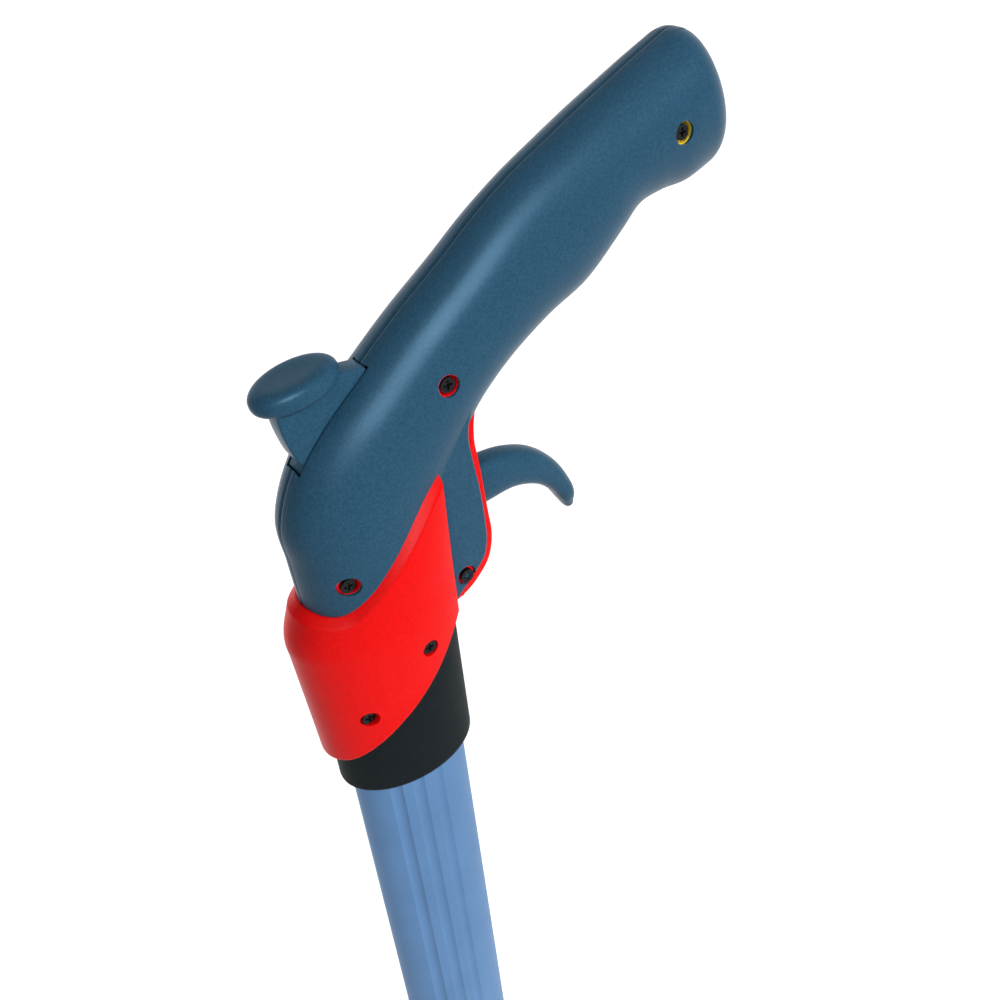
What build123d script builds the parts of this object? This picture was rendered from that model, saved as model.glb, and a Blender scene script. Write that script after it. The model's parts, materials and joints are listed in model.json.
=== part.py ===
from build123d import *
import math
import os

# Telescoping pole saw, collapsed. Millimetres.
# Z runs up the pole towards the hand, X points to the trigger side, Y is across the grip.
# The origin is on the pole axis at the mouth of the pole socket.

os.makedirs("parts", exist_ok=True)

# Clearances between pieces
SEAT_GAP = 0.15          # pieces that sit in each other and do not move
RUN_GAP = 0.05           # radial play of a pin in its bore
SLIDE_GAP = 0.4          # play between the two tubes
FREE_GAP = 0.5           # air round moving pieces
PARTING = 0.2            # gap along the parting line of moulded halves

# Outer tube: fluted oval aluminium section
TUBE_DEPTH = 40.0
TUBE_WIDTH = 24.8
TUBE_WALL = 1.8
TUBE_TOP = 46.0
TUBE_END = -700.0
FLUTE_PITCH = 6.9
FLUTE_RADIUS = 2.2
FLUTE_SINK = 0.7

# Inner tube, nested in the outer one
INNER_DEPTH = TUBE_DEPTH - 2 * (TUBE_WALL + SLIDE_GAP)
INNER_WIDTH = TUBE_WIDTH - 2 * (TUBE_WALL + SLIDE_GAP)
INNER_WALL = 1.5
INNER_TOP = -34.0
INNER_END = -778.0

# Pole socket
SOCKET_DEPTH = 46.8
SOCKET_WIDTH = 31.0
SOCKET_TOP = 60.0
SOCKET_LIP_ROUND = 2.6

# Guide collar at the mouth of the outer tube
GUIDE_WALL = 4.0
GUIDE_TOP = -664.0
GUIDE_END = -714.0

# Grip shells: back x, back z, front x, front z and half width of each cross-section
GRIP_WALL = 2.6
GRIP_FOOT = 61.0
GRIP_STATIONS = [
    (-22.0, GRIP_FOOT, 22.0, GRIP_FOOT, 16.0),
    (-22.4, 76.0, 22.0, 75.5, 16.3),
    (-22.9, 90.5, 22.6, 88.5, 16.6),
    (-22.4, 104.0, 25.5, 98.5, 16.7),
    (-17.3, 117.0, 30.4, 105.2, 16.4),
    (-7.4, 128.3, 35.7, 112.0, 16.0),
    (5.2, 138.3, 40.0, 117.6, 15.6),
    (18.8, 148.7, 45.0, 122.2, 15.3),
    (35.6, 160.0, 54.4, 128.6, 15.0),
    (46.1, 167.5, 65.0, 134.0, 14.9),
    (58.3, 174.9, 78.2, 139.2, 14.9),
    (73.4, 182.1, 91.3, 149.6, 14.7),
    (82.2, 186.2, 98.2, 155.3, 14.2),
    (92.0, 190.5, 107.4, 157.0, 14.2),
    (102.4, 195.0, 116.8, 157.0, 14.4),
    (112.4, 199.0, 124.8, 159.2, 14.2),
]
GRIP_SPLIT = 8
BUTT_ROUND = 10.0
BUTT_DOME = 9.4

# Core frame and the trigger plates on the shells
CORE_HALF = 9.4
POCKET_HALF = 7.5
PLATE_OUT = 12.6
CORE_FLOOR = 66.0
# chassis outline in side view, before it is trimmed to the inside of the grip
CORE_INSIDE = [(-12, 60.2), (26, 60.2), (40, 125), (30, 148), (8, 138), (-20, 112), (-20, 83), (-12, 76)]
TRIGGER_SLOT = [(20, 78.6), (45, 78.6), (45, 102), (20, 102)]
# front edges in side view, from the foot up; the rest of each outline is straight
LOBE_EDGE = [
    (23.8, 57.3), (26.4, 59.4), (30.6, 62.6), (34.0, 66.5), (35.7, 71.4), (36.3, 76.8),
    (35.8, 82.6), (35.1, 92.0), (34.0, 103.0), (33.1, 110.0), (33.7, 114.7), (35.0, 119.0),
]
LOBE_BACK = [(30.0, 124.0), (14.0, 124.0), (14.0, 60.2), (23.8, 60.2)]
LOBE_ROOM_BACK = [(30.0, 124.2), (8.0, 124.2), (8.0, 60.0), (23.8, 60.0)]
PLATE_EDGE = [
    (20.2, 61.3), (28.0, 67.8), (31.3, 71.6), (32.6, 76.6), (32.8, 83.8),
    (32.3, 94.7), (31.1, 105.6), (30.6, 112.5), (31.2, 117.0),
]
PLATE_BACK = [(28.0, 122.0), (19.1, 119.0), (19.1, 60.8)]

# Collar: height, middle, half depth and half width of its outer sections, then its edges in side view
COLLAR_SECTIONS = [
    (8.0, 0.3, 27.0, 17.4), (26.0, 0.2, 27.7, 17.9), (44.0, 0.2, 28.3, 18.4), (62.0, 0.0, 29.3, 18.9),
    (80.0, 1.3, 25.3, 18.6), (98.0, 4.0, 26.8, 18.1), (116.0, 7.2, 29.3, 17.5),
]
COLLAR_FRONT = 18.9
COLLAR_TOP_EDGE = [
    (-32.0, 81.0), (-22.0, 75.5), (-16.0, 76.4), (-10.0, 81.2), (-2.6, 88.4), (7.0, 98.0), (13.5, 105.2),
]
COLLAR_TIP = 109.2
COLLAR_LOW_EDGE = [
    (14.5, 52.8), (7.9, 43.0), (0.0, 36.0), (-10.0, 30.0), (-17.0, 23.0), (-23.0, 18.0), (-32.0, 16.5),
]
COLLAR_FRONT_LOW = 58.0

# Fasteners
SCREW_RADIUS = 1.45
SCREW_HEAD_RADIUS = 2.2
SCREW_HEAD_HEIGHT = 1.3
WASHER_RADIUS = 3.0
WASHER_THICK = 0.8
RECESS_RADIUS = 3.15
# x, z, recess floor y, end of the screw y
GRIP_SCREWS = [(24.8, 132.9, -12.4, 12.2), (-13.0, 85.5, -10.9, 9.9), (24.0, 68.0, -10.9, 11.8)]
BUTT_SCREW = (107.5, 176.0, -11.2, 10.5)
COLLAR_SCREWS = [(5.5, 54.5, 16.4, 8.0), (-16.0, 36.9, 12.7, 9.2)]
COLLAR_RECESS_RADIUS = 2.7

# Trigger
TRIGGER_HALF = 5.5
TRIGGER_PIVOT = (11.0, 78.5)
TRIGGER_HUB = 5.5
PIN_RADIUS = 2.0
# outer x, outer z, inner x, inner z and half width of the hook's cross-sections
HOOK_STATIONS = [
    (34.0, 96.0, 34.0, 80.6, 5.5), (41.0, 96.2, 41.0, 81.2, 5.5), (50.5, 94.6, 49.0, 81.6, 5.4),
    (58.7, 90.9, 55.0, 80.0, 5.3), (65.3, 85.0, 60.2, 77.0, 5.1), (70.0, 77.6, 64.8, 72.2, 4.8),
    (72.9, 69.8, 67.8, 67.2, 4.2), (72.9, 65.2, 69.8, 63.8, 2.6),
]

# Release rod, crank and their ball pins
ROD_SIDE = 5.0
ROD_TOP = 104.5
ROD_END = -650.0
CRANK_ARM = 5.1
CRANK_REST = 20.0
CRANK_LOW = 99.5
CRANK_RADIUS = 7.0
BALL_RADIUS = 1.9
BALL_STEM = 1.2
TRIGGER_BALL_Z = 96.0
LEVER_BALL_Z = 109.0
FORK_GAP = 0.3
FORK_TINE = 2.4
BUSH_RADIUS = 5.4

# Thumb lever
LEVER_PIVOT = (3.0, 122.0)
LEVER_HALF = 3.3
LEVER_REACH = 18.6
PAD_CENTRE = (-10.4, 141.8)
PAD_LENGTH = 24.5
PAD_WIDTH = 18.2
PAD_THICK = 6.8

# Return spring of the trigger
SPRING_X = 24.0
SPRING_LOW = 91.0
SPRING_TOP = 112.0
SPRING_RADIUS = 3.0
SPRING_WIRE = 0.5
SPRING_TURNS = 6

# Lock in the top of the inner tube
PLUG_SPIGOT = 26.0
PLUG_HEAD = 26.0
CHAMBER_LOW = 5.0
CHAMBER_TALL = 16.0
CHAMBER_HALF = 7.3
CAM_LONG = 7.5
CAM_SHORT = 6.0
CAM_TALL = 12.0
SHOE_PLAY = 0.4
SHOE_LIFT = 0.3
ROD_BORE = 4.3

# Saw head and blade
HEAD_WALL = 3.2
HEAD_TOP = -734.0
HEAD_SHOULDER = -786.0
TONGUE_TOP = -816.0
TONGUE_END = -866.0
TONGUE_DEPTH = 31.0
TONGUE_WIDTH = 13.0
BLADE_THICK = 1.4
BOLT_RADIUS = 3.0
BOLT_HEIGHTS = (-828.0, -852.0)
TOOTH_PITCH = 5.0
TOOTH_DEPTH = 3.6
HANG_HOLE = 6.0
HANG_HOLE_AT = (35.0, -1134.0)


def oval(depth, width, low, high, centre=0.0):
    """Upright oval prism between two heights."""
    return Pos(centre, 0, low) * extrude(Ellipse(depth / 2, width / 2), amount=high - low)


def side_plate(outline, y_low, y_high):
    """Face drawn in side view (x, z), thickened between two y values."""
    return extrude(Plane.XZ.offset(-y_high) * outline, amount=y_high - y_low)


def polygon(points):
    """Flat face with straight edges."""
    return make_face(Polyline(*points, close=True))


def lobed(edge, back):
    """Flat face with a smooth front edge and a straight back."""
    curve = Spline(*edge)
    return make_face([curve, Polyline(curve @ 1, *back, curve @ 0)])


def cross_rod(radius, x, z, y_low, y_high):
    """Round bar across the grip, along Y."""
    return Pos(x, (y_low + y_high) / 2, z) * Rot(90, 0, 0) * Cylinder(radius, y_high - y_low)


def ellipse_y(depth, width, x):
    """Half width of an oval at a distance x from its middle."""
    return width / 2 * math.sqrt(max(0.0, 1 - (2 * x / depth) ** 2))


def fluted_tube(depth, width, wall, low, high):
    """Oval tube with three shallow flutes along each side."""
    tube = oval(depth, width, low, high)
    tube -= oval(depth - 2 * wall, width - 2 * wall, low - 1, high + 1)
    for step in (-1, 0, 1):
        x = step * FLUTE_PITCH
        y = ellipse_y(depth, width, x)
        slope = math.hypot(x / depth ** 2, y / width ** 2)
        out = FLUTE_RADIUS - FLUTE_SINK
        for side in (-1, 1):
            at = (x + out * x / depth ** 2 / slope, side * (y + out * y / width ** 2 / slope))
            tube -= Pos(at[0], at[1], (low + high) / 2) * Cylinder(FLUTE_RADIUS, high - low + 2)
    return tube


def grip_section(back_x, back_z, front_x, front_z, half_width):
    """Plane, half depth and half width of an oval cross-section between two points of the side view."""
    run = Vector(front_x - back_x, 0, front_z - back_z)
    middle = ((back_x + front_x) / 2, 0, (back_z + front_z) / 2)
    plane = Plane(origin=middle, x_dir=run, z_dir=(back_z - front_z, 0, front_x - back_x))
    return plane, run.length / 2, half_width


def grip_solid(inset, foot):
    """The whole grip as one solid from a foot height up, moved in from its skin by an inset."""
    sections = []
    back_x, back_z, front_x, front_z, half_width = GRIP_STATIONS[0]
    for station in [(back_x, foot, front_x, foot, half_width)] + GRIP_STATIONS[1:]:
        plane, half_depth, half_width = grip_section(*station)
        sections.append(plane * Ellipse(half_depth - inset, half_width - inset))
    cut, half_depth, half_width = grip_section(*GRIP_STATIONS[GRIP_SPLIT])
    body = split(loft(sections[:GRIP_SPLIT + 3]), bisect_by=cut, keep=Keep.BOTTOM)
    body += split(loft(sections[GRIP_SPLIT - 2:]), bisect_by=cut, keep=Keep.TOP)
    plane, half_depth, half_width = grip_section(*GRIP_STATIONS[-1])
    cap = [sections[-1]]
    for angle in (30, 55, 80):
        turn = math.radians(angle)
        shrink = BUTT_ROUND * (1 - math.cos(turn)) + inset
        ahead = plane.offset((BUTT_DOME - inset) * math.sin(turn))
        cap.append(ahead * Ellipse(half_depth - shrink, max(half_width - shrink, 1.0)))
    return body + loft(cap)


def half_space(side):
    """Large block on one side of the parting line."""
    return Pos(40, side * (60 + PARTING / 2), 110) * Box(300, 120, 300)


def mirror_y(piece):
    """The same piece on the other side of the grip."""
    return mirror(piece, about=Plane.XZ)


def ball_pin(x, y, ball_z, root_z):
    """Ball on a short stem, standing on the crank."""
    low, high = min(ball_z, root_z), max(ball_z, root_z)
    stem = Pos(x, y, (low + high) / 2) * Cylinder(BALL_STEM, high - low)
    return Pos(x, y, ball_z) * Sphere(BALL_RADIUS) + stem


def screw(x, z, seat_y, end_y):
    """Cross-head screw driven along Y, its head resting at seat_y."""
    way = 1 if end_y > seat_y else -1
    top = seat_y - way * SCREW_HEAD_HEIGHT
    body = cross_rod(SCREW_HEAD_RADIUS, x, z, min(seat_y, top), max(seat_y, top))
    body += cross_rod(SCREW_RADIUS, x, z, min(seat_y, end_y), max(seat_y, end_y))
    for size in ((2.6, 0.7), (0.7, 2.6)):
        body -= Pos(x, top, z) * Box(size[0], 1.2, size[1])
    return body


# Fluted tubes
outer_tube = fluted_tube(TUBE_DEPTH, TUBE_WIDTH, TUBE_WALL, TUBE_END, TUBE_TOP)
inner_tube = fluted_tube(INNER_DEPTH, INNER_WIDTH, INNER_WALL, INNER_END, INNER_TOP)

# Pole socket: oval ferrule with a rounded lip; its roof carries the rod bush
socket = oval(SOCKET_DEPTH, SOCKET_WIDTH, 0, SOCKET_TOP)
socket = fillet(socket.edges().group_by(Axis.Z)[0], SOCKET_LIP_ROUND)
socket -= oval(TUBE_DEPTH + 2 * SEAT_GAP, TUBE_WIDTH + 2 * SEAT_GAP, -1, TUBE_TOP)
socket -= Pos(0, 0, SOCKET_TOP) * Cylinder(BUSH_RADIUS + RUN_GAP, 60)

# Grip: one lofted form, hollowed and parted down the middle
grip_outer = grip_solid(0, GRIP_FOOT)
grip_inner = grip_solid(GRIP_WALL, GRIP_FOOT - 8)
grip_room = grip_solid(GRIP_WALL + 3 * SEAT_GAP, GRIP_FOOT - 8)
lobe_face = lobed(LOBE_EDGE, LOBE_BACK)
lobe = side_plate(lobe_face, -CORE_HALF, CORE_HALF)
lobe = fillet(lobe.edges().filter_by(GeomType.BSPLINE), 1.2)
lobe_room = side_plate(lobed(LOBE_EDGE, LOBE_ROOM_BACK), -CORE_HALF - SEAT_GAP, CORE_HALF + SEAT_GAP)
plate = side_plate(lobed(PLATE_EDGE, PLATE_BACK), CORE_HALF + SEAT_GAP, PLATE_OUT)
plate = fillet(plate.edges().filter_by(GeomType.BSPLINE).sort_by(Axis.Y)[-1], 0.8)

lever_slot = Pos(LEVER_PIVOT[0], 0, LEVER_PIVOT[1]) * Rot(90, 0, 0) * Cylinder(
    LEVER_REACH + 0.7, 2 * (LEVER_HALF + FREE_GAP))
lever_slot -= Pos(29, 0, 122) * Box(40, 60, 60)

left_bosses = Part()
right_bosses = Part()
for x, z, floor, end in GRIP_SCREWS:
    left_bosses += cross_rod(4.6, x, z, -18, -CORE_HALF - SEAT_GAP)
    right_bosses += cross_rod(3.6, x, z, CORE_HALF + SEAT_GAP, 18)
x, z, floor, end = BUTT_SCREW
left_bosses += cross_rod(4.6, x, z, -18, 0)
right_bosses += cross_rod(3.6, x, z, 0, 18)

shells = []
for side, bosses in ((-1, left_bosses), (1, right_bosses)):
    side_lobe = plate if side > 0 else mirror_y(plate)
    shell = grip_outer + side_lobe - grip_inner
    shell += bosses & (grip_outer + side_lobe)
    shell -= lobe_room
    shell -= lever_slot
    shell = shell & half_space(side)
    for x, z, floor, end in GRIP_SCREWS + [BUTT_SCREW]:
        if side < 0:
            shell -= cross_rod(RECESS_RADIUS, x, z, -20, floor)
        shell -= cross_rod(SCREW_RADIUS + RUN_GAP, x, z, -20, end + 0.2)
    shells.append(shell)

# Screws through the grip and the coloured washers under their heads
grip_screws = []
grip_washers = []
for x, z, floor, end in GRIP_SCREWS + [BUTT_SCREW]:
    seat = floor - WASHER_THICK
    grip_screws.append(screw(x, z, seat, end))
    washer = cross_rod(WASHER_RADIUS, x, z, seat, floor)
    grip_washers.append(washer - cross_rod(SCREW_RADIUS + SEAT_GAP, x, z, seat - 1, floor + 1))

# Core frame: red chassis inside the grip, showing as a rim round the trigger plates
core = side_plate(polygon(CORE_INSIDE), -CORE_HALF, CORE_HALF) & grip_room
core += lobe
pocket = polygon([
    (-9.5, CORE_FLOOR), (28, CORE_FLOOR), (28, SPRING_TOP), (14, SPRING_TOP), (14, 128), (9, 140),
    (-22, 140), (-22, 126), (-9.5, 113),
])
core -= side_plate(pocket, -POCKET_HALF, POCKET_HALF)
slot_half = TRIGGER_HALF + FREE_GAP
core -= side_plate(polygon(TRIGGER_SLOT), -slot_half, slot_half)
core -= Pos(LEVER_PIVOT[0], 0, LEVER_PIVOT[1]) * Rot(90, 0, 0) * Cylinder(
    LEVER_REACH + 0.7, 2 * (LEVER_HALF + FREE_GAP))
core -= Pos(0, 0, SOCKET_TOP) * Cylinder(BUSH_RADIUS + RUN_GAP, 60)
for pivot in (TRIGGER_PIVOT, LEVER_PIVOT):
    core -= cross_rod(PIN_RADIUS + SEAT_GAP / 3, pivot[0], pivot[1], -20, 20)
for x, z, floor, end in GRIP_SCREWS:
    core -= cross_rod(SCREW_RADIUS + RUN_GAP, x, z, -20, 20)

# Collar: two red halves swept round the socket, each with a pointed wing up the side
collar = loft([Pos(x, 0, z) * Ellipse(a, b) for z, x, a, b in COLLAR_SECTIONS])
top_edge = Spline(*COLLAR_TOP_EDGE, (COLLAR_FRONT - 0.6, COLLAR_TIP))
low_edge = Spline((COLLAR_FRONT, COLLAR_FRONT_LOW), *COLLAR_LOW_EDGE)
swoosh = make_face([
    top_edge,
    Line(top_edge @ 1, (COLLAR_FRONT, COLLAR_TIP - 2.0)),
    Line((COLLAR_FRONT, COLLAR_TIP - 2.0), (COLLAR_FRONT, COLLAR_FRONT_LOW)),
    low_edge,
    Line(low_edge @ 1, top_edge @ 0),
])
collar = collar & side_plate(swoosh, -40, 40)
collar -= oval(SOCKET_DEPTH + 2 * SEAT_GAP, SOCKET_WIDTH + 2 * SEAT_GAP, -1, GRIP_FOOT)
collar -= grip_solid(-SEAT_GAP, GRIP_FOOT - SEAT_GAP)
collar -= lobe_room
collar_halves = []
collar_screws = []
for side in (-1, 1):
    half = collar & half_space(side)
    for x, z, floor, end in COLLAR_SCREWS:
        low, high = sorted((side * floor, side * 30))
        half -= cross_rod(COLLAR_RECESS_RADIUS, x, z, low, high)
        low, high = sorted((side * (end - 0.2), side * 30))
        half -= cross_rod(SCREW_RADIUS + RUN_GAP, x, z, low, high)
        socket -= cross_rod(SCREW_RADIUS + RUN_GAP, x, z, low, high)
        collar_screws.append(screw(x, z, side * floor, side * end))
    collar_halves.append(half)

# Trigger: hook outside, hub on a pin inside, and an arm with a fork round the crank ball
px, pz = TRIGGER_PIVOT
hook_sections = []
for station in HOOK_STATIONS:
    plane, half_depth, half_width = grip_section(*station)
    hook_sections.append(plane * Ellipse(half_depth, half_width))
hook = loft(hook_sections)
neck = polygon([
    (px, pz - TRIGGER_HUB), (35.0, 82.0), (35.0, 93.6), (29.0, 93.6),
    (28.5, SPRING_LOW), (19.5, SPRING_LOW), (px, pz + TRIGGER_HUB),
])
trigger = hook + side_plate(neck, -TRIGGER_HALF, TRIGGER_HALF)
trigger += cross_rod(TRIGGER_HUB, px, pz, -7.0, 7.0)
ball_x = CRANK_ARM * math.sin(math.radians(CRANK_REST))
ball_y = CRANK_ARM * math.cos(math.radians(CRANK_REST))
near = ball_x - BALL_RADIUS - FORK_GAP
far = ball_x + BALL_RADIUS + FORK_GAP
fork = polygon([
    (px - 3, pz - 2), (px + 2, pz + 5), (far + FORK_TINE, TRIGGER_BALL_Z - 3),
    (far + FORK_TINE, TRIGGER_BALL_Z + 2.4), (far, TRIGGER_BALL_Z + 2.4), (far, TRIGGER_BALL_Z - 2.6),
    (near, TRIGGER_BALL_Z - 2.6), (near, TRIGGER_BALL_Z + 2.4),
    (near - FORK_TINE, TRIGGER_BALL_Z + 2.4), (near - FORK_TINE, TRIGGER_BALL_Z - 5),
])
trigger += side_plate(fork, 4.1, 7.0)
trigger -= cross_rod(PIN_RADIUS + RUN_GAP, px, pz, -20, 20)
trigger_pin = cross_rod(PIN_RADIUS, px, pz, -CORE_HALF + 0.3, CORE_HALF - 0.3)

# Trigger spring: coil between the trigger and the roof of the pocket
spring_tall = SPRING_TOP - SPRING_LOW - 1.6
coil = Helix(pitch=spring_tall / SPRING_TURNS, height=spring_tall, radius=SPRING_RADIUS)
wire = Plane(origin=coil @ 0, z_dir=coil % 0) * RegularPolygon(SPRING_WIRE, 5)
spring = Pos(SPRING_X, 0, SPRING_LOW + 0.8) * sweep(wire, path=coil)

# Release rod with its crank and bush
release_rod = Pos(0, 0, (ROD_TOP + ROD_END) / 2) * Box(ROD_SIDE, ROD_SIDE, ROD_TOP - ROD_END)
crank = Pos(0, 0, (CRANK_LOW + ROD_TOP) / 2) * Box(9, 30, ROD_TOP - CRANK_LOW)
crank = crank & (Pos(0, 0, CRANK_LOW) * Cylinder(CRANK_RADIUS, 40))
crank = Rot(0, 0, -CRANK_REST) * crank
crank += ball_pin(ball_x, ball_y, TRIGGER_BALL_Z, CRANK_LOW + 1)
crank += ball_pin(-ball_x, -ball_y, LEVER_BALL_Z, ROD_TOP - 1)
rod_hole = Box(ROD_SIDE + 2 * RUN_GAP, ROD_SIDE + 2 * RUN_GAP, 60)
crank -= Pos(0, 0, ROD_TOP) * rod_hole
bush_low, bush_high = TUBE_TOP - 2, CORE_FLOOR + 2
bush = Pos(0, 0, (bush_low + bush_high) / 2) * Cylinder(BUSH_RADIUS, bush_high - bush_low)
bush -= Pos(0, 0, (bush_low + bush_high) / 2) * rod_hole

# Thumb lever: thin sector in the slot of the grip, an oval pad on top, a fork round the second ball
lx, lz = LEVER_PIVOT
spur_arc = CenterArc((lx, lz), LEVER_REACH, 178, 44)
spur = make_face([
    spur_arc,
    Line(spur_arc @ 1, (lx - 2, lz - 3)),
    Line((lx - 2, lz - 3), (lx + 4, lz)),
    Line((lx + 4, lz), (7.0, 139.0)),
    Line((7.0, 139.0), (1.0, 141.0)),
    Line((1.0, 141.0), (-18.2, 140.0)),
    Spline((-18.2, 140.0), (-17.9, 131.0), spur_arc @ 0),
])
lever = side_plate(spur, -LEVER_HALF, LEVER_HALF)
lever += cross_rod(4.0, lx, lz, -LEVER_HALF, LEVER_HALF)
pad = Pos(PAD_CENTRE[0], 0, PAD_CENTRE[1] - PAD_THICK / 2) * extrude(
    Ellipse(PAD_LENGTH / 2, PAD_WIDTH / 2), amount=PAD_THICK)
pad = fillet(pad.edges().group_by(Axis.Z)[-1], 2.2)
pad = fillet(pad.edges().group_by(Axis.Z)[0], 1.6)
lever += pad
near = -ball_x - BALL_RADIUS - FORK_GAP
far = -ball_x + BALL_RADIUS + FORK_GAP
fork = polygon([
    (lx + 3, lz - 1), (lx - 3, lz - 1), (near - FORK_TINE, LEVER_BALL_Z + 5.5),
    (near - FORK_TINE, LEVER_BALL_Z - 2.2), (near, LEVER_BALL_Z - 2.2), (near, LEVER_BALL_Z + 3.5),
    (far, LEVER_BALL_Z + 3.5), (far, LEVER_BALL_Z - 2.2),
    (far + FORK_TINE, LEVER_BALL_Z - 2.2), (far + FORK_TINE, LEVER_BALL_Z + 5.5),
])
lever += side_plate(fork, -7.0, -3.0)
lever -= cross_rod(PIN_RADIUS + RUN_GAP, lx, lz, -20, 20)
lever_pin = cross_rod(PIN_RADIUS, lx, lz, -CORE_HALF + 0.6, CORE_HALF - 0.6)

# Guide collar: plastic ring on the mouth of the outer tube, its lip guiding the inner one
guide = oval(TUBE_DEPTH + 2 * GUIDE_WALL, TUBE_WIDTH + 2 * GUIDE_WALL, GUIDE_END, GUIDE_TOP)
guide = fillet(guide.edges(), 2.0)
guide -= oval(TUBE_DEPTH + 2 * SEAT_GAP, TUBE_WIDTH + 2 * SEAT_GAP, TUBE_END, GUIDE_TOP + 1)
guide -= oval(INNER_DEPTH + 2 * SLIDE_GAP, INNER_WIDTH + 2 * SLIDE_GAP, GUIDE_END - 1, TUBE_END + 1)

# Lock plug: spigot in the inner tube, chamber above it for the cam and the two brake shoes
bore_depth = INNER_DEPTH - 2 * (INNER_WALL + SEAT_GAP)
bore_width = INNER_WIDTH - 2 * (INNER_WALL + SEAT_GAP)
plug = oval(bore_depth, bore_width, INNER_TOP - PLUG_SPIGOT, INNER_TOP)
plug += oval(INNER_DEPTH, INNER_WIDTH, INNER_TOP, INNER_TOP + PLUG_HEAD)
chamber_middle = INNER_TOP + CHAMBER_LOW + CHAMBER_TALL / 2
plug -= Pos(0, 0, chamber_middle) * Box(60, 2 * CHAMBER_HALF, CHAMBER_TALL)
plug -= Pos(0, 0, INNER_TOP) * Cylinder(ROD_BORE, 120)
rivet_z = INNER_TOP - PLUG_SPIGOT / 2
rivet_in = ellipse_y(INNER_DEPTH, INNER_WIDTH, 0) - FLUTE_SINK
plug_rivets = []
for side in (-1, 1):
    low, high = sorted((side * 5.2, side * (rivet_in - 0.1)))
    plug_rivets.append(cross_rod(1.6, 0, rivet_z, low, high))
    low, high = sorted((side * 5.0, side * 20))
    plug -= cross_rod(1.6 + RUN_GAP, 0, rivet_z, low, high)
    inner_tube -= cross_rod(1.6 + RUN_GAP, 0, rivet_z, low, high)

# Cam on the square rod; turning it lets both shoes draw in
cam = Pos(0, 0, chamber_middle - CAM_TALL / 2) * extrude(Ellipse(CAM_LONG, CAM_SHORT), amount=CAM_TALL)
cam -= Pos(0, 0, chamber_middle) * Box(ROD_SIDE + 0.2, ROD_SIDE + 0.2, 60)
shoe_outline = oval(TUBE_DEPTH - 2 * (TUBE_WALL + SHOE_LIFT), TUBE_WIDTH - 2 * (TUBE_WALL + SHOE_LIFT),
                    chamber_middle - CHAMBER_TALL / 2 + 0.4, chamber_middle + CHAMBER_TALL / 2 - 0.4)
shoe_room = CHAMBER_HALF - 0.4
shoe_in = CAM_LONG + SHOE_PLAY
front_shoe = shoe_outline & (Pos(shoe_in + 15, 0, chamber_middle) * Box(30, 2 * shoe_room, 60))
rear_shoe = mirror(front_shoe, about=Plane.YZ)

# Saw head: sleeve on the inner tube running down to a slotted tongue for the blade
head_depth = INNER_DEPTH + 2 * HEAD_WALL
head_width = INNER_WIDTH + 2 * HEAD_WALL
head = oval(head_depth, head_width, HEAD_SHOULDER, HEAD_TOP)
shoulder = Pos(0, 0, HEAD_SHOULDER) * RectangleRounded(head_depth - 0.4, head_width - 0.4, 12.4)
tongue_face = RectangleRounded(TONGUE_DEPTH, TONGUE_WIDTH, 4.0)
head += loft([shoulder, Pos(0, 0, TONGUE_TOP) * tongue_face], ruled=True)
tongue = Pos(0, 0, TONGUE_END) * extrude(tongue_face, amount=TONGUE_TOP - TONGUE_END)
head += fillet(tongue.edges().group_by(Axis.Z)[0], 2.0)
head -= oval(INNER_DEPTH + 2 * SEAT_GAP, INNER_WIDTH + 2 * SEAT_GAP, INNER_END, HEAD_TOP + 1)
head -= Pos(0, 0, TONGUE_END) * Box(80, BLADE_THICK + 2 * SEAT_GAP, 2 * (HEAD_SHOULDER - TONGUE_END) - 24)
head_rivets = []
rivet_z = (HEAD_TOP + HEAD_SHOULDER) / 2
for side in (-1, 1):
    face = INNER_WIDTH / 2 + HEAD_WALL
    low, high = sorted((side * 7.5, side * face))
    rivet = cross_rod(1.9, 0, rivet_z, low, high)
    low, high = sorted((side * face, side * (face + 1.4)))
    head_rivets.append(rivet + cross_rod(3.4, 0, rivet_z, low, high))
    low, high = sorted((side * 7.4, side * 30))
    head -= cross_rod(1.9 + RUN_GAP, 0, rivet_z, low, high)
    inner_tube -= cross_rod(1.9 + RUN_GAP, 0, rivet_z, low, high)

# Saw blade: curved pruning blade with a raked tooth row on the concave edge and a branch hook at the heel
tang_top = HEAD_SHOULDER - 13.0
tooth_edge = ThreePointArc((16.5, -900.0), (14.5, -1020.0), (47.0, -1150.0))
count = int(tooth_edge.length // TOOTH_PITCH)
teeth = []
for i in range(count):
    root = tooth_edge @ (i / count)
    tip_at = (i + 0.3) / count
    along = tooth_edge % tip_at
    out = Vector(-along.Y, along.X, 0)
    tip = tooth_edge @ tip_at + out * TOOTH_DEPTH
    teeth += [(root.X, root.Y), (tip.X, tip.Y)]
end = tooth_edge @ 1
back_edge = Spline((-14.0, TONGUE_END), (-19.5, -960.0), (-8.0, -1080.0), (40.0, -1168.0))
back_points = [back_edge @ (i / 14) for i in range(14, -1, -1)]
blade_outline = teeth + [(end.X, end.Y), (52.5, -1160.0), (50.0, -1166.0)]
blade_outline += [(p.X, p.Y) for p in back_points]
blade_outline += [(-14.0, tang_top), (14.0, tang_top), (14.0, -868.0), (24.0, -871.0), (33.0, -878.0)]
blade_outline += [(37.5, -889.0), (36.0, -899.0), (33.0, -891.0), (26.0, -884.0), (19.5, -886.0)]
blade = side_plate(polygon(blade_outline), -BLADE_THICK / 2, BLADE_THICK / 2)
blade -= cross_rod(HANG_HOLE / 2, HANG_HOLE_AT[0], HANG_HOLE_AT[1], -5, 5)

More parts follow.
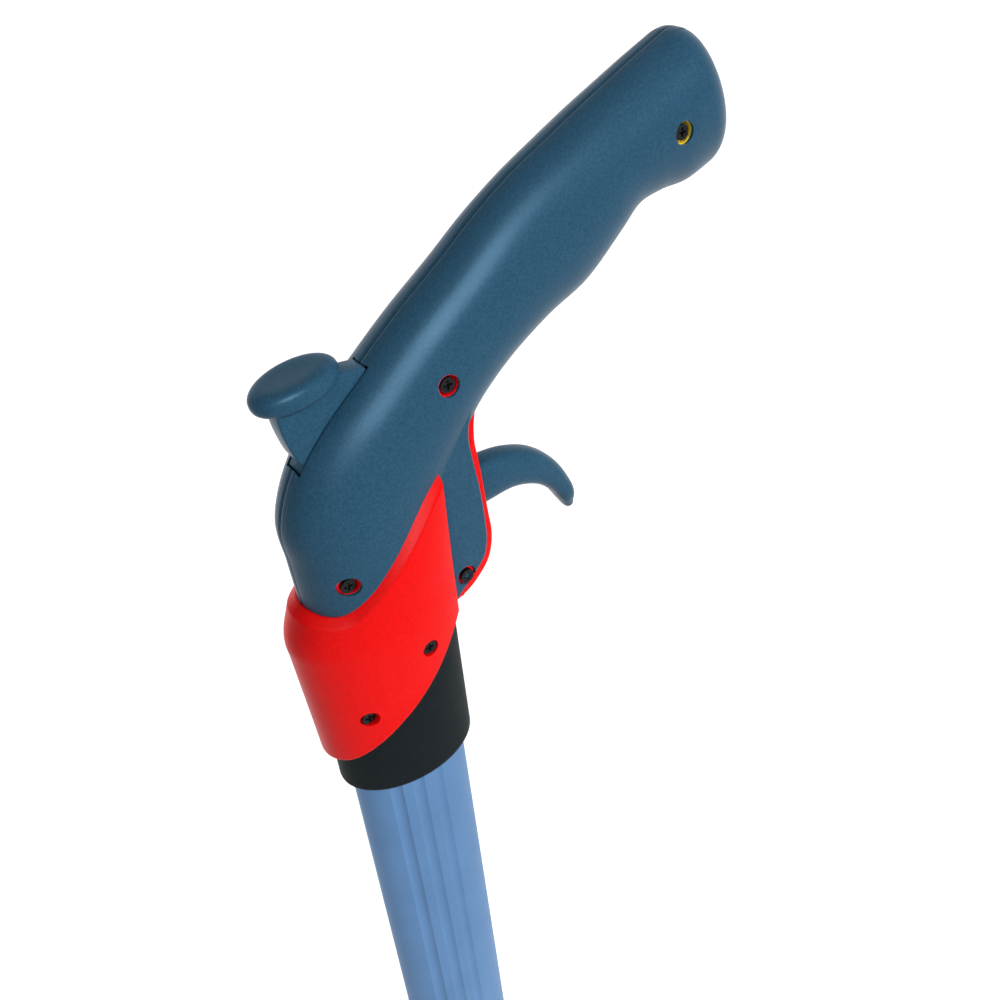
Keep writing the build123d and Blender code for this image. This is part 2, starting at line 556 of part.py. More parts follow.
# Bolts and nuts that clamp the blade in the tongue
blade_bolts = []
blade_nuts = []
half = TONGUE_WIDTH / 2
for z in BOLT_HEIGHTS:
    hole = cross_rod(BOLT_RADIUS + RUN_GAP, 0, z, -30, 30)
    head -= hole
    blade -= hole
    bolt = cross_rod(BOLT_RADIUS, 0, z, -half, half + 6.5)
    cap = cross_rod(5.2, 0, z, -half - 4.2, -half)
    hex_hole = extrude(RegularPolygon(2.6, 6), amount=2.4, both=True)
    blade_bolts.append(bolt + cap - Pos(0, -half - 4.2, z) * Rot(90, 0, 0) * hex_hole)
    nut = Pos(0, half + 5.2, z) * Rot(90, 0, 0) * extrude(RegularPolygon(5.8, 6), amount=5.2)
    blade_nuts.append(nut - hole)

pieces = {
    "grip_shell_left": shells[0],
    "grip_shell_right": shells[1],
    "core_frame": core,
    "collar_left": collar_halves[0],
    "collar_right": collar_halves[1],
    "pole_socket": socket,
    "outer_tube": outer_tube,
    "trigger": trigger,
    "trigger_pin": trigger_pin,
    "trigger_spring": spring,
    "thumb_lever": lever,
    "lever_pin": lever_pin,
    "grip_screws": Compound(children=grip_screws),
    "grip_washers": Compound(children=grip_washers[:3]),
    "butt_washer": grip_washers[3],
    "collar_screws": Compound(children=collar_screws),
    "rod_crank": crank,
    "release_rod": release_rod,
    "rod_bush": bush,
    "guide_collar": guide,
    "inner_tube": inner_tube,
    "lock_plug": plug,
    "lock_cam": cam,
    "front_shoe": front_shoe,
    "rear_shoe": rear_shoe,
    "plug_rivets": Compound(children=plug_rivets),
    "saw_head": head,
    "head_rivets": Compound(children=head_rivets),
    "saw_blade": blade,
    "blade_bolts": Compound(children=blade_bolts),
    "blade_nuts": Compound(children=blade_nuts),
}
for name, piece in pieces.items():
    piece.label = name
    export_step(piece, f"parts/{name}.step")
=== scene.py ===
import bpy
import bmesh
import json
import numpy as np
from mathutils import Matrix, Vector


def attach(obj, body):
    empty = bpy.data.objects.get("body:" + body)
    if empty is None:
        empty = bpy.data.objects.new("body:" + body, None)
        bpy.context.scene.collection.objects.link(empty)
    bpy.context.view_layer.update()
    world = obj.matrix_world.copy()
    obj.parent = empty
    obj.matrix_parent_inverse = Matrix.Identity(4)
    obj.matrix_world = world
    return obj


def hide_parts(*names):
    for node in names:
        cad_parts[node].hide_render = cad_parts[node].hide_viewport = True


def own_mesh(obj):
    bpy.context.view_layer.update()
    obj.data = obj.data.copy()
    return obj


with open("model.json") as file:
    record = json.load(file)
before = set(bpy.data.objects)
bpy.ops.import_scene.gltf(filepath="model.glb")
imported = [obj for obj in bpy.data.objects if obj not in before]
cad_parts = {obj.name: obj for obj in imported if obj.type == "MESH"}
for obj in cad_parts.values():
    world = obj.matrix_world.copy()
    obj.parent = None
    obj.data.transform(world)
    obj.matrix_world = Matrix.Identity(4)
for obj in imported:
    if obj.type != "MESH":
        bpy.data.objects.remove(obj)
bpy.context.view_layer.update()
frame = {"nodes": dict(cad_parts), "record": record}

# Outer tube: the upper half of the pole, an oval aluminium extrusion with three shallow flutes on each side.
# It is anodised pale blue, pushed up into the pole socket and held there by the collar's screws.
MILLIMETRE = 0.001
TUBE_DEPTH = 40.0
TUBE_WIDTH = 24.8
TUBE_WALL = 1.8
TUBE_TOP = 46.0
TUBE_END = -700.0
FLUTE_PLACES = (-11.0, -3.8, 3.4)
FLUTE_RADIUS = 3.4
FLUTE_SINK = 0.8
FLUTE_CREASE = 24
TUBE_METALLIC = 0.2
TUBE_GLOSS = 0.2
# blue cast of the sheen on the anodised tube and on the slate plastic
COOL_GLINT = (0.40, 0.70, 1.0)


def oval_ring(half_depth, half_width, columns):
    """Points of an oval: x = half depth times cos t and y = half width times sin t, for t once round."""
    turn = np.linspace(0, 2 * np.pi, columns, endpoint=False)
    return np.stack([half_depth * np.cos(turn), half_width * np.sin(turn)], -1)


def fluted_ring(depth, width, columns=720):
    """An oval whose points inside a flute's circle are pushed to that circle, which bites in by the sink.
    The far side has the same flutes turned half round."""
    ring = oval_ring(depth / 2, width / 2, columns)
    for x in FLUTE_PLACES:
        y = width / 2 * np.sqrt(1 - (2 * x / depth) ** 2)
        normal = np.array([x / depth ** 2, y / width ** 2])
        centre = np.array([x, y]) + normal / np.linalg.norm(normal) * (FLUTE_RADIUS - FLUTE_SINK)
        for way in ((1, -1), (-1, 1)):
            arm = ring - centre * way
            reach = np.linalg.norm(arm, axis=1, keepdims=True)
            ring = np.where(reach < FLUTE_RADIUS, centre * way + arm / reach * FLUTE_RADIUS, ring)
    return ring


def level(ring, z):
    """A flat ring lifted to one height."""
    return np.column_stack([ring, np.full(len(ring), z)])


def grid(points, around=False, closed=False, ends=False):
    """Vertices and faces of a grid of points (rows, columns, 3): four neighbours make a face.
    around joins the last column to the first, closed the last row to the first,
    and ends fills the outer columns."""
    rows, columns = points.shape[:2]
    index = np.arange(rows * columns).reshape(rows, columns)
    outer = [index[:, 0].tolist(), index[::-1, -1].tolist()] if ends else []
    if around:
        index = np.concatenate([index, index[:, :1]], 1)
    if closed:
        index = np.concatenate([index, index[:1]], 0)
    faces = np.stack([index[:-1, :-1], index[:-1, 1:], index[1:, 1:], index[1:, :-1]], -1).reshape(-1, 4)
    return points.reshape(-1, 3), faces.tolist() + outer


def tube_wall(depth, width, wall, top, end):
    """A fluted oval carried straight from top to end, and back up along a plain oval one wall smaller."""
    outer = fluted_ring(depth, width)
    bore = oval_ring(depth / 2 - wall, width / 2 - wall, len(outer))
    rings = [level(outer, top), level(outer, end), level(bore, end), level(bore, top)]
    return grid(np.stack(rings), around=True, closed=True)


def piece(name, *parts, crease=35):
    """One mesh object from several vertex and face lists in millimetres: doubles merged, faces outwards,
    shaded smooth except across edges sharper than the crease angle."""
    vertices = np.concatenate([points for points, polygons in parts]) * MILLIMETRE
    faces = []
    base = 0
    for points, polygons in parts:
        faces += [[base + corner for corner in polygon] for polygon in polygons]
        base += len(points)
    mesh = bpy.data.meshes.new(name)
    mesh.from_pydata(vertices.tolist(), [], faces)
    work = bmesh.new()
    work.from_mesh(mesh)
    bmesh.ops.remove_doubles(work, verts=work.verts, dist=0.002 * MILLIMETRE)
    bmesh.ops.dissolve_degenerate(work, edges=work.edges, dist=0.001 * MILLIMETRE)
    bmesh.ops.recalc_face_normals(work, faces=work.faces)
    work.to_mesh(mesh)
    work.free()
    mesh.shade_smooth()
    mesh.set_sharp_from_angle(angle=np.radians(crease))
    made = bpy.data.objects.new(name, mesh)
    bpy.context.scene.collection.objects.link(made)
    return made


def group(name, sockets_in, sockets_out):
    """Empty shader group with float or vector inputs and outputs; returns its tree and its two end nodes."""
    tree = bpy.data.node_groups.new(name, "ShaderNodeTree")
    for label, kind, value in sockets_in:
        socket = tree.interface.new_socket(label, in_out="INPUT", socket_type=kind)
        if kind == "NodeSocketFloat":
            socket.default_value = value
    for label, kind in sockets_out:
        tree.interface.new_socket(label, in_out="OUTPUT", socket_type=kind)
    return tree, tree.nodes.new("NodeGroupInput"), tree.nodes.new("NodeGroupOutput")


def noise(tree, vector, scale, detail, rough=0.5):
    """Noise texture node on a vector."""
    node = tree.nodes.new("ShaderNodeTexNoise")
    node.inputs["Detail"].default_value = detail
    node.inputs["Roughness"].default_value = rough
    tree.links.new(vector, node.inputs["Vector"])
    if isinstance(scale, (int, float)):
        node.inputs["Scale"].default_value = scale
    else:
        tree.links.new(scale, node.inputs["Scale"])
    return node.outputs["Fac"]


def span(tree, value, low, high, to_low, to_high):
    """Map Range node from one span of values to another, clamped."""
    node = tree.nodes.new("ShaderNodeMapRange")
    for label, number in (("From Min", low), ("From Max", high), ("To Min", to_low), ("To Max", to_high)):
        node.inputs[label].default_value = number
    tree.links.new(value, node.inputs["Value"])
    return node.outputs["Result"]


# values that noise takes over most of a surface
NOISE_SPAN = (0.3, 0.7)

# drawing marks: noise stretched along one axis gives fine lines, a second one gives soft clouds of tarnish
drawn, drawn_in, drawn_out = group(
    "drawing_marks",
    [("Vector", "NodeSocketVector", None),
     ("Across", "NodeSocketFloat", 1500.0),
     ("Along", "NodeSocketFloat", 6.0)],
    [("Lines", "NodeSocketFloat"), ("Clouds", "NodeSocketFloat")])
stretch = drawn.nodes.new("ShaderNodeCombineXYZ")
drawn.links.new(drawn_in.outputs["Across"], stretch.inputs["X"])
drawn.links.new(drawn_in.outputs["Across"], stretch.inputs["Y"])
drawn.links.new(drawn_in.outputs["Along"], stretch.inputs["Z"])
scaled = drawn.nodes.new("ShaderNodeVectorMath")
scaled.operation = "MULTIPLY"
drawn.links.new(drawn_in.outputs["Vector"], scaled.inputs[0])
drawn.links.new(stretch.outputs["Vector"], scaled.inputs[1])
drawn.links.new(noise(drawn, scaled.outputs["Vector"], 1.0, 3, 0.6), drawn_out.inputs["Lines"])
drawn.links.new(noise(drawn, drawn_in.outputs["Vector"], 38.0, 4), drawn_out.inputs["Clouds"])


def material(name, metallic=0.0):
    """New material: its tree, its Principled shader and its Object coordinates."""
    made = bpy.data.materials.new(name)
    made.use_nodes = True
    tree = made.node_tree
    shader = tree.nodes["Principled BSDF"]
    shader.inputs["Metallic"].default_value = metallic
    return made, tree, shader, tree.nodes.new("ShaderNodeTexCoord").outputs["Object"]


def use(tree, effect, vector, **values):
    """A group placed in a material, with its own values."""
    node = tree.nodes.new("ShaderNodeGroup")
    node.node_tree = effect
    tree.links.new(vector, node.inputs["Vector"])
    for label, number in values.items():
        node.inputs[label].default_value = number
    return node.outputs


def tint(tree, shader, mask, low, high):
    """Base colour that runs from one colour to another with a mask."""
    node = tree.nodes.new("ShaderNodeMix")
    node.data_type = "RGBA"
    node.inputs["A"].default_value = (*low, 1)
    node.inputs["B"].default_value = (*high, 1)
    tree.links.new(mask, node.inputs["Factor"])
    tree.links.new(node.outputs["Result"], shader.inputs["Base Color"])


def bump(tree, shader, height, strength, distance):
    """Fine relief on the shader's normal."""
    node = tree.nodes.new("ShaderNodeBump")
    node.inputs["Strength"].default_value = strength
    node.inputs["Distance"].default_value = distance
    tree.links.new(height, node.inputs["Height"])
    tree.links.new(node.outputs["Normal"], shader.inputs["Normal"])


def metal(name, low, high, shine, across, along_z, relief, metallic=1.0, depth=0.05):
    """Metal with drawing or grinding marks: colour runs with the clouds, roughness with the lines."""
    made, tree, shader, place = material(name, metallic=metallic)
    marks = use(tree, drawn, place, Across=across, Along=along_z)
    tint(tree, shader, span(tree, marks["Clouds"], *NOISE_SPAN, 0, 1), low, high)
    tree.links.new(span(tree, marks["Lines"], *NOISE_SPAN, *shine), shader.inputs["Roughness"])
    bump(tree, shader, marks["Lines"], relief, depth * MILLIMETRE)
    return made


def sheen(made, gloss, glint=(1, 1, 1)):
    """Strength and colour of what a finish reflects when it is seen straight on."""
    shader = made.node_tree.nodes["Principled BSDF"]
    shader.inputs["Specular IOR Level"].default_value = gloss
    shader.inputs["Specular Tint"].default_value = (*glint, 1)


finish = {}
finish["aluminium_tube"] = metal(
    "anodised_extrusion", low=(0.09, 0.195, 0.37), high=(0.105, 0.22, 0.42), shine=(0.36, 0.46),
    across=1900.0, along_z=5.0, relief=0.25, metallic=TUBE_METALLIC, depth=0.06)
sheen(finish["aluminium_tube"], TUBE_GLOSS, COOL_GLINT)
outer_tube = piece("outer_tube_skin", tube_wall(TUBE_DEPTH, TUBE_WIDTH, TUBE_WALL, TUBE_TOP, TUBE_END),
                   crease=FLUTE_CREASE)
outer_tube.data.materials.append(finish["aluminium_tube"])
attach(outer_tube, "handle")
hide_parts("outer_tube")

# Inner tube: the lower half of the pole, the same aluminium extrusion one size smaller, sliding in the outer.
# The saw head is riveted on its lower end and the lock plug in its upper end.
INNER_STEP = 4.4
INNER_WALL = 1.5
INNER_TOP = -34.0
INNER_END = -778.0

inner_tube = piece("inner_tube_skin", tube_wall(
    TUBE_DEPTH - INNER_STEP, TUBE_WIDTH - INNER_STEP, INNER_WALL, INNER_TOP, INNER_END), crease=FLUTE_CREASE)
inner_tube.data.materials.append(finish["aluminium_tube"])
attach(inner_tube, "inner_pole")
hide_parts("inner_tube")

# Pole socket: an oval ferrule with a rounded lip, injection-moulded in black glass-filled nylon.
# The tube goes in from below and stops against its roof. The release rod passes through a hole in the roof.
SOCKET_HALF_DEPTH = 23.4
SOCKET_HALF_WIDTH = 15.5
SOCKET_TOP = 60.0
SOCKET_LIP = 2.6
SOCKET_BORE = (20.15, 12.55)
SOCKET_COLUMNS = 160
LIP_STEPS = 9
ROD_HOLE = (5.45, 5.45)

# moulding grain: fine spark-eroded texture of a mould, and soft mottling from handling
grain, grain_in, grain_out = group(
    "moulding_grain",
    [("Vector", "NodeSocketVector", None), ("Scale", "NodeSocketFloat", 2400.0)],
    [("Height", "NodeSocketFloat"), ("Mottle", "NodeSocketFloat"), ("Rub", "NodeSocketFloat")])
grain_place = grain_in.outputs["Vector"]
grain.links.new(noise(grain, grain_place, grain_in.outputs["Scale"], 2, 0.55), grain_out.inputs["Height"])
grain.links.new(noise(grain, grain_place, 1300.0, 3, 0.6), grain_out.inputs["Mottle"])
grain.links.new(noise(grain, grain_place, 24.0, 3), grain_out.inputs["Rub"])
MOTTLE_SPAN = (0.35, 0.65)
GRAIN_DEPTH = 0.12


def moulded(name, low, high, shine, relief, scale=2400.0, gloss=0.3, glint=(1, 1, 1)):
    """Grained plastic: colour runs between two tones with the mottling, roughness with handling."""
    made, tree, shader, place = material(name)
    sheen(made, gloss, glint)
    marks = use(tree, grain, place, Scale=scale)
    tint(tree, shader, span(tree, marks["Mottle"], *MOTTLE_SPAN, 0, 1), low, high)
    tree.links.new(span(tree, marks["Rub"], *NOISE_SPAN, *shine), shader.inputs["Roughness"])
    bump(tree, shader, marks["Height"], relief, GRAIN_DEPTH * MILLIMETRE)
    return made


finish["black_plastic"] = moulded(
    "black_moulding", low=(0.005, 0.009, 0.013), high=(0.010, 0.014, 0.014), shine=(0.46, 0.56),
    relief=0.22, gloss=0.03)
turn = np.radians(np.linspace(0, 90, LIP_STEPS))
lip = [(SOCKET_LIP * (1 - np.cos(t)), SOCKET_LIP * (1 - np.sin(t))) for t in turn]
rows = [(SOCKET_HALF_DEPTH - inset, SOCKET_HALF_WIDTH - inset, z) for inset, z in [(0, SOCKET_TOP)] + lip]
rows += [(*SOCKET_BORE, 0.0), (*SOCKET_BORE, TUBE_TOP), (*ROD_HOLE, TUBE_TOP), (*ROD_HOLE, SOCKET_TOP)]
rings = [level(oval_ring(a, b, SOCKET_COLUMNS), z) for a, b, z in rows]
socket = piece("pole_socket_skin", grid(np.stack(rings), around=True, closed=True))
socket.data.materials.append(finish["black_plastic"])
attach(socket, "handle")
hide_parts("pole_socket")

# Grip shells: two moulded glass-filled nylon halves in slate blue, finely grained, parted down the middle.
# Screws in deep recesses on the near side draw them together over the red chassis.
PARTING = 0.1
GRIP_WALL = 2.6
GRIP_ROWS = 230
GRIP_COLUMNS = 84
BUTT_ROUND = 10.0
BUTT_DOME = 9.4
BUTT_STEPS = 14
GROOVE_DEPTH = 0.28
GROOVE_WIDTH = 0.6
RECESS_RADIUS = 3.15
LEVER_PIVOT = (3.0, 122.0)
SLOT_REACH = 19.3
SLOT_FRONT = 9.0
SLOT_HALF = 3.8
# a place clear of the tool's side, where cutters start
OUTSIDE = 25.0
# x, z and floor of each screw recess
recesses = [(24.8, 132.9, -12.4), (-13.0, 85.5, -10.9), (107.5, 176.0, -11.2)]
# back x, back z, front x, front z and half width of the grip's cross-sections, from the foot to the butt
grip_sections = np.array([
    (-22.0, 61.0, 22.0, 61.0, 16.0), (-22.4, 76.0, 22.0, 75.5, 16.3), (-22.9, 90.5, 22.6, 88.5, 16.6),
    (-23.2, 103.2, 25.5, 98.5, 16.7), (-17.3, 117.0, 30.4, 105.2, 16.4), (-7.4, 128.3, 35.7, 112.0, 16.0),
    (5.2, 138.3, 40.0, 117.6, 15.6), (18.8, 148.7, 45.0, 122.2, 15.3), (35.6, 160.0, 54.4, 128.6, 15.0),
    (46.1, 167.5, 65.0, 134.0, 14.9), (58.3, 174.9, 78.2, 139.2, 14.9), (73.4, 182.1, 91.3, 149.6, 14.7),
    (82.2, 186.2, 98.2, 155.3, 14.2), (92.0, 190.5, 107.4, 157.0, 14.2), (102.4, 195.0, 116.8, 157.0, 14.4),
    (112.4, 199.0, 124.8, 159.2, 14.2)])


def curve(knots, values, at):
    """Cubic Hermite curve through values at knots; the slope at a knot comes from its two neighbours."""
    slope = np.gradient(values, knots, axis=0)
    i = np.clip(np.searchsorted(knots, at) - 1, 0, len(knots) - 2)
    shape = (-1,) + (1,) * (values.ndim - 1)
    step = (knots[i + 1] - knots[i]).reshape(shape)
    t = (at - knots[i]).reshape(shape) / step
    return ((1 + 2 * t) * (1 - t) ** 2 * values[i] + t * (1 - t) ** 2 * step * slope[i]
            + t * t * (3 - 2 * t) * values[i + 1] + t * t * (t - 1) * step * slope[i + 1])


def along(sections, rows):
    """Cross-sections between the given ones, on the curve through them in even steps of the middle line:
    middle, direction across, half depth and half width of each row."""
    middle = (sections[:, 0:2] + sections[:, 2:4]) / 2
    knots = np.concatenate([[0], np.cumsum(np.linalg.norm(np.diff(middle, axis=0), axis=1))])
    fine = curve(knots, sections, np.linspace(0, knots[-1], rows))
    across = fine[:, 2:4] - fine[:, 0:2]
    length = np.linalg.norm(across, axis=1)
    return (fine[:, 0:2] + fine[:, 2:4]) / 2, across / length[:, None], length / 2, fine[:, 4]


def domed(spine, bulge, shrink, steps):
    """The same rows with a rounded end: a step goes ahead by bulge sin t and draws in by shrink (1 - cos t),
    and three last rows close the flat middle of the end."""
    middle, across, depth, width = spine
    narrowest = 0.8
    turn = np.radians(np.linspace(0, 90, steps))[1:]
    ahead = np.array([-across[-1, 1], across[-1, 0]])
    reach = np.concatenate([bulge * np.sin(turn), [bulge] * 3])
    draw = np.concatenate([shrink * (1 - np.cos(turn)), [shrink] * 3])
    fade = np.concatenate([np.ones(len(turn)), [0.7, 0.35, 0.0]])
    return (np.concatenate([middle, middle[-1] + reach[:, None] * ahead]),
            np.concatenate([across, np.repeat(across[-1:], len(reach), 0)]),
            np.concatenate([depth, (depth[-1] - draw) * fade]),
            np.concatenate([width, np.maximum(width[-1] - draw, narrowest) * fade]))


def slab(outline, low, high):
    """A flat outline (x, z) thickened across the grip from y low to y high."""
    outline = np.asarray(outline, float)
    rings = [np.column_stack([outline[:, 0], np.full(len(outline), y), outline[:, 1]]) for y in (low, high)]
    vertices, faces = grid(np.stack(rings), around=True)
    count = len(outline)
    return vertices, faces + [list(range(count)), list(range(2 * count - 1, count - 1, -1))]


def disc(x, z, radius, columns=48):
    """Outline of a round hole in side view."""
    return oval_ring(radius, radius, columns) + (x, z)


def cut_away(body, *parts):
    """Takes the given solids out of a piece for good."""
    cutter = piece("cutter", *parts)
    change = body.modifiers.new("cut", "BOOLEAN")
    change.object = cutter
    change.solver = "MANIFOLD"
    settle(body)
    bpy.data.objects.remove(cutter)


def settle(body, crease=35):
    """Turns a piece's modifiers into its own mesh."""
    graph = bpy.context.evaluated_depsgraph_get()
    old = body.data
    body.data = bpy.data.meshes.new_from_object(body.evaluated_get(graph))
    body.data.name = old.name
    body.data.materials.clear()
    bpy.data.meshes.remove(old)
    body.modifiers.clear()
    body.data.polygons.foreach_set("material_index", np.zeros(len(body.data.polygons), np.int32))
    body.data.shade_smooth()
    body.data.set_sharp_from_angle(angle=np.radians(crease))


finish["slate_plastic"] = moulded(
    "slate_moulding", low=(0.017, 0.062, 0.108), high=(0.025, 0.082, 0.142), shine=(0.28, 0.36),
    relief=0.22, gloss=0.14, glint=COOL_GLINT)
# half an oval carried along the middle line; a narrow groove follows the parting line
middle, across, depth, width = domed(along(grip_sections, GRIP_ROWS), BUTT_DOME, BUTT_ROUND, BUTT_STEPS)
swing = np.pi * (0.5 - 0.5 * np.cos(np.linspace(0, np.pi, GRIP_COLUMNS)))
half = width[:, None] * np.sin(swing)
reach = depth[:, None] * np.cos(swing)
groove = GROOVE_DEPTH * np.exp(-(half / GROOVE_WIDTH) ** 2)
reach = reach - np.sign(reach) * groove * np.minimum(1, np.abs(reach))
slot_outline = np.minimum(disc(*LEVER_PIVOT, SLOT_REACH, 120), (SLOT_FRONT, np.inf))
for side, name in ((-1, "left"), (1, "right")):
    skin = np.stack([middle[:, :1] + reach * across[:, :1],
                     side * np.maximum(half, PARTING),
                     middle[:, 1:] + reach * across[:, 1:]], -1)
    shell = piece(f"grip_shell_{name}_skin", grid(skin))
    outwards = sum(p.normal.y * p.area for p in shell.data.polygons) * side
    if outwards < 0:
        shell.data.flip_normals()
    wall = shell.modifiers.new("wall", "SOLIDIFY")
    wall.thickness = GRIP_WALL * MILLIMETRE
    wall.offset = -1
    settle(shell)
    holes = [slab(disc(x, z, RECESS_RADIUS), -OUTSIDE, floor) for x, z, floor in recesses] if side < 0 else []
    cut_away(shell, slab(slot_outline, -SLOT_HALF, SLOT_HALF), *holes)
    shell.data.materials.append(finish["slate_plastic"])
    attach(shell, "handle")
    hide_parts(f"grip_shell_{name}")

# Trigger plates: flat cheeks of the same slate plastic that run forward from each shell beside the trigger.
# The red chassis shows as a thin rim round their front edge.
PLATE_IN = 9.55
PLATE_OUT = 12.6
PLATE_BACK = 19.1
PLATE_FOOT = 60.8
PLATE_TOP = 124.0
PLATE_ROUND = 0.9
PLATE_ROWS = 90
PLATE_SCREW = (24.0, 68.0)
PLATE_RECESS_FLOOR = -10.9
SCREW_HOLE = 1.55
plate_edge = np.array([(20.2, 61.3), (28.0, 67.8), (31.3, 71.6), (32.6, 76.6), (32.8, 83.8),
                       (32.3, 94.7), (31.1, 105.6), (30.6, 112.5), (31.2, 117.0), (33.0, 121.5)])


def smooth_line(points, count):
    """Points at even steps along the curve through a few given ones."""
    knots = np.concatenate([[0], np.cumsum(np.linalg.norm(np.diff(points, axis=0), axis=1))])
    return curve(knots, points, np.linspace(0, knots[-1], count))


# the plate runs from its curved front edge, which is rounded over, straight back to its rear edge
front = smooth_line(plate_edge, PLATE_ROWS)
rear = np.column_stack([np.full(PLATE_ROWS, PLATE_BACK), np.linspace(PLATE_FOOT, PLATE_TOP, PLATE_ROWS)])
run = np.linalg.norm(rear - front, axis=1, keepdims=True)
turn = np.radians(np.linspace(0, 90, 7))
steps = [(0.0, PLATE_IN)]
steps += [(PLATE_ROUND * (1 - np.cos(t)), PLATE_OUT - PLATE_ROUND * (1 - np.sin(t))) for t in turn]
for side, name in ((-1, "left"), (1, "right")):
    rows = []
    for inset, y in steps:
        at = front + (rear - front) * np.minimum(inset / run, 1)
        rows.append(np.insert(at, 1, side * y, axis=1))
    rows += [np.insert(rear, 1, side * PLATE_OUT, axis=1), np.insert(rear, 1, side * PLATE_IN, axis=1)]
    cheek = piece(f"trigger_plate_{name}", grid(np.stack(rows), closed=True, ends=True))
    if side < 0:
        cut_away(cheek, slab(disc(*PLATE_SCREW, RECESS_RADIUS), -OUTSIDE, PLATE_RECESS_FLOOR),
                 slab(disc(*PLATE_SCREW, SCREW_HOLE), -OUTSIDE, 0))
    cheek.data.materials.append(finish["slate_plastic"])
    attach(cheek, "handle")

# Collar: two halves moulded in bright red nylon that wrap the socket and the foot of the grip.
# Each has a pointed wing up the side with a bevel along its upper edge, and two screws hold it to the socket.
COLLAR_FRONT = 18.9
COLLAR_GRID = 90
COLLAR_ROUNDS = 10
COLLAR_WALL = 2.7
COLLAR_MIDLINE = 0.03
COLLAR_CREASE = 40
SEAT_HALF_DEPTH = 23.7
SEAT_HALF_WIDTH = 15.8
SEAT_TOP = 66.0
SEAT_BLEND = 8.0
BEVEL_DEPTH = 2.1
BEVEL_RUN = 2.5
LOW_EDGE_ROUND = 1.0
FRONT_EDGE_ROUND = 0.35
COLLAR_RECESS = 2.7
# x, z and floor of each screw recess
collar_recesses = [(5.5, 54.5, 16.4), (-16.0, 36.9, 12.7)]
# height, middle, half depth and half width of the collar's outer cross-sections
collar_sections = np.array([
    (8.0, 0.3, 26.7, 17.4), (26.0, 0.2, 27.5, 17.9), (44.0, 0.1, 28.4, 18.4), (58.0, 0.0, 29.1, 18.8),
    (63.5, 0.0, 29.4, 18.9), (65.2, 0.2, 29.3, 18.9), (73.0, 1.4, 27.6, 18.8), (80.0, 2.4, 26.4, 18.8),
    (98.0, 4.2, 27.0, 18.2), (116.0, 7.2, 29.3, 17.1)])
# x and z of points on its upper and its lower edge
collar_top = np.array([(-32.0, 80.0), (-22.0, 75.2), (-16.0, 76.0), (-10.0, 80.4), (-2.6, 87.4), (7.0, 96.8),
                       (14.0, 103.9), (18.9, 108.6)])
collar_low = np.array([(-32.0, 16.0), (-23.0, 18.8), (-17.0, 23.0), (-10.0, 28.7), (0.0, 36.9), (7.9, 44.6),
                       (14.5, 52.4), (18.9, 58.2)])
finish["red_plastic"] = moulded(
    "red_moulding", low=(0.70, 0.002, 0.002), high=(0.80, 0.004, 0.004), shine=(0.28, 0.36),
    relief=0.18, scale=1900.0, gloss=0.08)


def crowded(count, amount):
    """Steps from 0 to 1 that lie closer together at both ends: t less a share of sin(2 pi t)."""
    t = np.linspace(0, 1, count)
    return t - amount * np.sin(2 * np.pi * t)


# A column's swing round the oval gives x, and x gives both edges.
# A row's share of the way between them gives z. The oval changes with z, so this repeats until z stays.
up_rows = crowded(COLLAR_GRID, 0.13)[:, None]
round_columns = crowded(COLLAR_GRID, 0.1)[None, :]
z = np.full((COLLAR_GRID, COLLAR_GRID), SOCKET_TOP)
for step in range(COLLAR_ROUNDS):
    section = curve(collar_sections[:, 0], collar_sections[:, 1:], z.ravel())
    centre, a, b = (section[:, i].reshape(z.shape) for i in range(3))
    first = np.arccos(np.clip((COLLAR_FRONT - centre) / a, -1, 1))
    swing = first + (np.pi - first) * round_columns
    x = centre + a * np.cos(swing)
    high = curve(collar_top[:, 0], collar_top[:, 1], x.ravel()).reshape(x.shape)
    low = curve(collar_low[:, 0], collar_low[:, 1], x.ravel()).reshape(x.shape)
    z = low + (high - low) * up_rows
y = b * np.sin(swing)
out = np.stack([np.cos(swing) / a, np.sin(swing) / b], -1)
out /= np.linalg.norm(out, axis=-1, keepdims=True)
incline = np.gradient(high[-1], x[-1])[None, :]


def rounded(distance, radius):
    """How far a quarter-round edge draws in at a distance from the edge."""
    gap = np.clip(radius - distance, 0, radius)
    return radius - np.sqrt(np.maximum(radius ** 2 - gap ** 2, 0))


# the edges draw in, and the lining lies one wall inside, or on the socket's oval lower down
bevel = BEVEL_DEPTH * np.clip(1 - (high - z) / np.sqrt(1 + incline ** 2) / BEVEL_RUN, 0, 1)
draw = np.maximum(bevel, rounded(z - low, LOW_EDGE_ROUND))
draw = np.maximum(draw, rounded(COLLAR_FRONT - x, FRONT_EDGE_ROUND))
skin_x = x - draw * out[..., 0]
skin_y = np.maximum(y - draw * out[..., 1], COLLAR_MIDLINE)
seat = np.clip((SEAT_TOP - z) / SEAT_BLEND, 0, 1)
seat_first = np.arccos(COLLAR_FRONT / SEAT_HALF_DEPTH)
seat_swing = seat_first + (np.pi - seat_first) * round_columns
lining_x = (1 - seat) * (x - COLLAR_WALL * out[..., 0]) + seat * SEAT_HALF_DEPTH * np.cos(seat_swing)
lining_y = (1 - seat) * (y - COLLAR_WALL * out[..., 1]) + seat * SEAT_HALF_WIDTH * np.sin(seat_swing)
lining_x = np.minimum(lining_x, COLLAR_FRONT)
lining_y = np.maximum(lining_y, COLLAR_MIDLINE)
